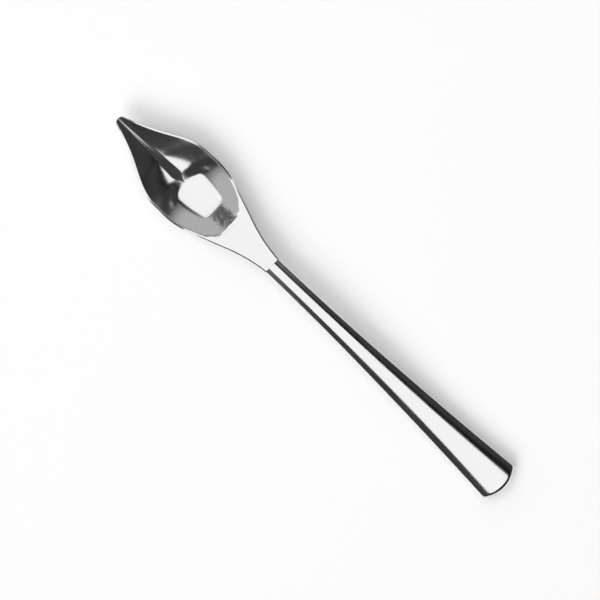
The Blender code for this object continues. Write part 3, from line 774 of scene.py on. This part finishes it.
class SPOON_OT_bowl(bpy.types.Operator):
    """Models the leaf bowl with its pouring point, neck and tang"""

    bl_idname = "spoon.make_bowl"
    bl_label = "Make the bowl"

    rows: IntProperty(name="Rows", description="Steps along the bowl", default=112, min=16)
    columns: IntProperty(name="Columns", description="Steps across, an even number", default=48, min=8)

    def add_ripples(self, steel, bowl, lip):
        """Faint hand-planished ripples in the back wall of the hollow, fading out before its lip."""
        along = steel.towards((1.0, 0.0, 0.0))
        risen = steel.spread(along, lip - bowl.ripple_start, lip - bowl.ripple_full)
        left = steel.spread(along, lip - bowl.ripple_fade, lip - bowl.ripple_end, new_low=1.0, new_high=0.0)
        where = steel.combine("MULTIPLY", risen, left)
        ripples = steel.noise((bowl.ripple_scale,) * 3, detail=1.5)
        height = steel.combine("MULTIPLY", ripples, where)
        steel.bump(height, bowl.ripple_strength, bowl.ripple_height)

    def find_rim(self, piece, neck_end):
        """Corners of the sheet's edge up to the neck's end, each with the one that the wall puts below it."""
        mesh = bmesh.new()
        mesh.from_mesh(piece.data)
        edge = [vertex.index for vertex in mesh.verts if vertex.is_boundary and vertex.co.x < neck_end]
        count = len(mesh.verts)
        mesh.free()
        return [(index, index + count) for index in edge]

    def grind_rim(self, mesh, rim, form):
        """Raises the lower edge of the rim where the wall leans out, to make the rim a sloping strip."""
        bowl = form.sizes
        mesh.verts.ensure_lookup_table()
        for upper, lower in rim:
            upper, lower = mesh.verts[upper], mesh.verts[lower]
            past_cheek = upper.co.x + form.middle - bowl.widest_along + bowl.cheek_reach
            tilt = bowl.rim_tilt * eased(past_cheek / bowl.cheek_reach)
            out = (lower.co - upper.co).xy.length
            fall = upper.co.z - lower.co.z
            ground = (fall - out * math.tan(tilt)) * min(out / bowl.rim_lean, 1.0)
            lower.select_set(True)
            bpy.ops.transform.translate(value=(0, 0, max(0.0, ground)))
            lower.select_set(False)

    def grind_shoulder(self, mesh, form):
        """Lowers the upper face along the edges of the shoulder to a narrow sloping strip."""
        mesh.verts.ensure_lookup_table()
        for vertex in mesh.verts[: len(mesh.verts) // 2]:
            along = vertex.co.x + form.middle
            lowered = form.shoulder_strip(along, vertex.co.y / form.half_width(along))
            if lowered > 0:
                vertex.select_set(True)
                bpy.ops.transform.translate(value=(0, 0, -lowered))
                vertex.select_set(False)

    def round_rim(self, piece, rim, form, neck_end):
        """Grinds and rounds the rim, and keeps the edges of the neck's end crisp."""
        bowl = form.sizes
        bpy.ops.object.mode_set(mode="EDIT")
        bpy.ops.mesh.select_mode(type="VERT")
        bpy.ops.mesh.select_all(action="DESELECT")
        mesh = bmesh.from_edit_mesh(piece.data)
        self.grind_shoulder(mesh, form)
        self.grind_rim(mesh, rim, form)

        def at_neck_end(edge):
            return min(vertex.co.x for vertex in edge.verts) > neck_end

        # the lower corners come first, because the upper ones keep their places in the list of corners
        upper, lower = (set(corners) for corners in zip(*rim))
        for corners in (lower, upper):
            mesh.verts.index_update()
            pick_edges(
                mesh,
                lambda edge: all(vertex.index in corners for vertex in edge.verts) and not at_neck_end(edge),
            )
            percent = 100 * bowl.rim_round
            bpy.ops.mesh.bevel(offset_type="PERCENT", offset_pct=percent, segments=3, affect="EDGES")
        pick_edges(mesh, at_neck_end)
        bpy.ops.transform.edge_crease(value=1)
        bpy.ops.object.mode_set(mode="OBJECT")

    def execute(self, context):
        bowl = context.scene.spoon_bowl
        finish = context.scene.spoon_finish
        form = BowlForm(bowl, context.scene.spoon_handle)
        piece = shape_leaf(form, self.rows, self.columns)
        thickness = piece.vertex_groups.new(name="thickness")
        for vertex in piece.data.vertices:
            along = vertex.co.x + form.middle
            across = vertex.co.y / form.half_width(along)
            thickness.add([vertex.index], form.sheet(along, across) / form.thickest(), "REPLACE")
        neck_end = bowl.length - form.middle - NEAR
        rim = self.find_rim(piece, neck_end)
        wall = add_wall(piece, form.thickest(), 0.0)
        wall.vertex_group = thickness.name
        apply_modifiers(piece)
        self.round_rim(piece, rim, form, neck_end)
        add_smoothing(piece, 1)
        apply_modifiers(piece)
        piece.vertex_groups.clear()
        tang = shape_tang(form, HandleForm(form))
        bpy.ops.object.select_all(action="DESELECT")
        tang.select_set(True)
        piece.select_set(True)
        context.view_layer.objects.active = piece
        bpy.ops.object.join()
        steel = polished_steel(
            "mirror_polished_bowl",
            finish.bowl_colour,
            finish.bowl_polish,
            line_scale=(60, 900, 900),
            smudge_scale=70,
        )
        self.add_ripples(steel, bowl, form.deepest + bowl.hollow_length - form.middle)
        hand_over(piece, "bowl", steel.material)
        return {"FINISHED"}


def shape_shell(name, form, section, rows, columns, furthest_turn):
    """One half of the handle as an open sheet, still open at the butt."""
    sheet, mesh, corners = new_sheet(name, rows, columns)
    half_columns = columns // 2
    start = form.sizes.seam_gap
    for row in range(rows + 1):
        back = start + (form.corner - start) * row / rows
        for column in range(half_columns + 1):
            turn = column / half_columns * furthest_turn
            across, above = section(back, turn)
            put_pair(corners, row, column, form.point(back + form.bulge(back, across), across, above))
    return sheet, mesh


class SPOON_OT_handle(bpy.types.Operator):
    """Models the upper and the lower shell of the hollow handle"""

    bl_idname = "spoon.make_handle"
    bl_label = "Make the handle shells"

    rows: IntProperty(name="Rows", description="Steps along the handle", default=60, min=8)
    columns: IntProperty(name="Columns", description="Steps across, an even number", default=24, min=8)

    def close_butt(self, mesh, form, seam):
        """Draws the end edge to the seam and marks the edges to round, less where they meet the seam."""
        handle = form.sizes
        end = form.start + form.corner - NEAR

        def at_end(edge):
            return edge.is_boundary and min(vertex.co.x for vertex in edge.verts) > end

        def across_end(edge):
            ends = [vertex.co for vertex in edge.verts]
            return at_end(edge) and (ends[0] - ends[1]).xy.length > SAME

        pick_edges(mesh, across_end)
        bpy.ops.mesh.extrude_region_move()
        bpy.ops.transform.resize(value=(1, 1, 0), center_override=(0, 0, seam))
        bpy.ops.mesh.select_all(action="SELECT")
        bpy.ops.mesh.remove_doubles(threshold=SAME)
        bpy.ops.mesh.normals_make_consistent(inside=False)

        weight = mesh.edges.layers.float.new("bevel_weight_edge")
        for edge in mesh.edges:
            if len(edge.link_faces) != 2:
                continue
            if min(vertex.co.x for vertex in edge.verts) > end and edge.calc_face_angle() > BUTT_CORNER:
                room = abs(sum(vertex.co.z - seam for vertex in edge.verts)) / 2
                edge[weight] = min(ROUNDING_ROOM * room / handle.butt_round, 1.0)

    def make_shell(self, form, upward):
        """The upper or the lower shell, with its half of the butt."""
        handle = form.sizes
        name = "upper_shell" if upward else "lower_shell"
        section = form.upper if upward else form.lower
        # one more step of the upper shell's grid than its crown needs is the upright side
        furthest = self.columns / (self.columns - 2) if upward else 1.0
        sheet, mesh = shape_shell(name, form, section, self.rows, self.columns, furthest)
        seam = handle.butt_keel + handle.seam_gap / 2 * (1 if upward else -1)
        self.close_butt(mesh, form, seam)
        bpy.ops.object.mode_set(mode="OBJECT")
        facing = sum(face.normal.z * face.area for face in sheet.data.polygons)
        if (facing > 0) != upward:
            sheet.data.flip_normals()
        rounding = sheet.modifiers.new("butt", "BEVEL")
        rounding.width = handle.butt_round
        rounding.segments = 4
        rounding.limit_method = "WEIGHT"
        apply_modifiers(sheet)
        if upward:
            bpy.ops.object.mode_set(mode="EDIT")
            pick_edges(bmesh.from_edit_mesh(sheet.data), self.is_crown_edge)
            bpy.ops.mesh.bevel(offset=handle.edge_round, segments=2, affect="EDGES", clamp_overlap=True)
            bpy.ops.object.mode_set(mode="OBJECT")
        add_wall(sheet, handle.wall, 1.0)
        add_smoothing(sheet, 1)
        apply_modifiers(sheet)
        return sheet

    def is_crown_edge(self, edge):
        """True for the long edge where the crown meets the upright side."""
        if len(edge.link_faces) != 2:
            return False
        normals = sorted(abs(face.normal.y) for face in edge.link_faces)
        return normals[1] > UPRIGHT and normals[0] < LEANING and edge.calc_face_angle() > CROWN_CORNER

    def execute(self, context):
        finish = context.scene.spoon_finish
        form = HandleForm(BowlForm(context.scene.spoon_bowl, context.scene.spoon_handle))
        for upward, node in ((True, "handle_upper_shell"), (False, "handle_lower_shell")):
            piece = self.make_shell(form, upward)
            steel = polished_steel(
                "polished_" + piece.name,
                finish.handle_colour,
                finish.handle_polish,
                line_scale=(25, 1400, 1400),
                smudge_scale=60,
            )
            hand_over(piece, node, steel.material)
        return {"FINISHED"}


class SPOON_OT_bedding(bpy.types.Operator):
    """Gives the cement around the tang its grey, grainy finish"""

    bl_idname = "spoon.finish_bedding"
    bl_label = "Finish the bedding"

    def execute(self, context):
        light = context.scene.spoon_finish.bedding_colour
        cement = MaterialMaker("grey_bedding_cement")
        cement.shader.inputs["Roughness"].default_value = 0.9
        grains = cement.noise((900, 900, 900), detail=5.0, roughness=0.7)
        dark = [part * GRAIN_SHADE for part in light]
        cement.links.new(cement.tint(grains, dark, light), cement.shader.inputs["Base Color"])
        cement.bump(grains, strength=0.4, distance=0.0002)
        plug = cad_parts["tang_bedding"]
        plug.data.materials.clear()
        plug.data.materials.append(cement.material)
        return {"FINISHED"}


class SPOON_OT_stage(bpy.types.Operator):
    """Sets the white table, the lamps, the dark room and the camera"""

    bl_idname = "spoon.set_stage"
    bl_label = "Set the stage"

    def make_floor(self, stage):
        """A wide white table, without shine."""
        bpy.ops.object.select_all(action="DESELECT")
        bpy.ops.mesh.primitive_plane_add(size=stage.floor_size, location=(0, 0, -TABLE_DROP))
        floor = bpy.context.object
        floor.name = "white_table"
        paint = MaterialMaker("white_table")
        paint.shader.inputs["Base Color"].default_value = (*stage.floor_colour, 1.0)
        paint.shader.inputs["Roughness"].default_value = 0.9
        paint.shader.inputs["Specular IOR Level"].default_value = 0.0
        floor.data.materials.append(paint.material)

    def make_panel(self, stage):
        """A soft light panel over the table, brighter than the room, that shows in the metal."""
        lamp = bpy.data.lights.new("soft_panel", "AREA")
        lamp.shape = "RECTANGLE"
        lamp.size = stage.panel_back - stage.panel_front
        lamp.size_y = stage.panel_far - stage.panel_near
        lamp.energy = stage.panel_brightness * math.pi * lamp.size * lamp.size_y
        panel = bpy.data.objects.new("soft_panel", lamp)
        middle = (stage.panel_front + stage.panel_back, stage.panel_near + stage.panel_far)
        panel.location = (middle[0] / 2, middle[1] / 2, stage.panel_height)
        bpy.context.scene.collection.objects.link(panel)

    def make_sun(self, name, strength, width, height, turn):
        """A soft lamp far away that doesn't show in the metal, with its angles in degrees."""
        lamp = bpy.data.lights.new(name, "SUN")
        lamp.energy = strength
        lamp.angle = math.radians(width)
        sun = bpy.data.objects.new(name, lamp)
        height, turn = math.radians(height), math.radians(turn)
        towards = Vector(
            (math.cos(height) * math.cos(turn), math.cos(height) * math.sin(turn), math.sin(height))
        )
        sun.rotation_euler = towards.to_track_quat("Z", "Y").to_euler()
        sun.visible_glossy = False
        bpy.context.scene.collection.objects.link(sun)

    def make_room(self, stage):
        """A dark room that turns grey low down beyond the pouring point, with a dark gap in the grey."""
        world = bpy.data.worlds.new("dark_room")
        bpy.context.scene.world = world
        room = NodeMaker(world, "Generated")
        beyond_point = room.towards((-1.0, 0.0, 0.0))
        grey = room.spread(
            beyond_point, low=0.02, high=0.25, new_low=stage.room_dark, new_high=stage.room_grey
        )
        low_down = room.spread(room.towards((0.0, 0.0, 1.0)), low=0.78, high=0.62)
        side = stage.gap_level * math.cos(stage.gap_turn)
        gap = room.towards((side, stage.gap_level * math.sin(stage.gap_turn), stage.gap_rise))
        shade = room.spread(gap, low=0.955, high=0.99, new_low=1.0, new_high=stage.gap_shade)
        light = room.combine("MULTIPLY", room.combine("MULTIPLY", grey, low_down), shade)
        background = room.nodes["Background"]
        background.inputs["Color"].default_value = (1.0, 1.0, 1.0, 1.0)
        room.links.new(light, background.inputs["Strength"])

    def make_camera(self, stage):
        """A camera straight above the spoon."""
        lens = bpy.data.cameras.new("camera")
        lens.sensor_width = SENSOR
        lens.lens = SENSOR * stage.camera_height / stage.frame_width
        camera = bpy.data.objects.new("camera", lens)
        camera.location = (stage.aim_along, stage.aim_across, stage.aim_height + stage.camera_height)
        camera.rotation_euler = (0, 0, stage.camera_turn)
        bpy.context.scene.collection.objects.link(camera)
        bpy.context.scene.camera = camera

    def execute(self, context):
        stage = context.scene.spoon_stage
        self.make_floor(stage)
        self.make_panel(stage)
        self.make_sun("soft_key", stage.key_strength, width=36, height=38, turn=-76)
        self.make_sun("wide_fill", stage.fill_strength, width=150, height=90, turn=0)
        self.make_room(stage)
        self.make_camera(stage)
        context.scene.view_settings.view_transform = "Standard"
        return {"FINISHED"}


class SPOON_PT_panel(bpy.types.Panel):
    """Lists the steps that make the spoon, and its sizes"""

    bl_idname = "SPOON_PT_panel"
    bl_label = "Plating spoon"
    bl_space_type = "VIEW_3D"
    bl_region_type = "UI"
    bl_category = "Spoon"

    def draw(self, context):
        for operator in OPERATORS:
            self.layout.operator(operator.bl_idname)
        for name in PROPERTY_GROUPS:
            box = self.layout.box()
            group = getattr(context.scene, name)
            for key in group.__annotations__:
                box.prop(group, key, text=key.replace("_", " ").capitalize())


OPERATORS = (SPOON_OT_bowl, SPOON_OT_handle, SPOON_OT_bedding, SPOON_OT_stage)
CLASSES = (*PROPERTY_GROUPS.values(), *OPERATORS, SPOON_PT_panel)


def register():
    for entry in CLASSES:
        bpy.utils.register_class(entry)
    for name, group in PROPERTY_GROUPS.items():
        setattr(bpy.types.Scene, name, PointerProperty(type=group))


def unregister():
    for name in PROPERTY_GROUPS:
        delattr(bpy.types.Scene, name)
    for entry in reversed(CLASSES):
        bpy.utils.unregister_class(entry)


def main():
    register()
    bpy.ops.spoon.make_bowl()
    bpy.ops.spoon.make_handle()
    bpy.ops.spoon.finish_bedding()
    bpy.ops.spoon.set_stage()


if __name__ == "__main__":
    main()
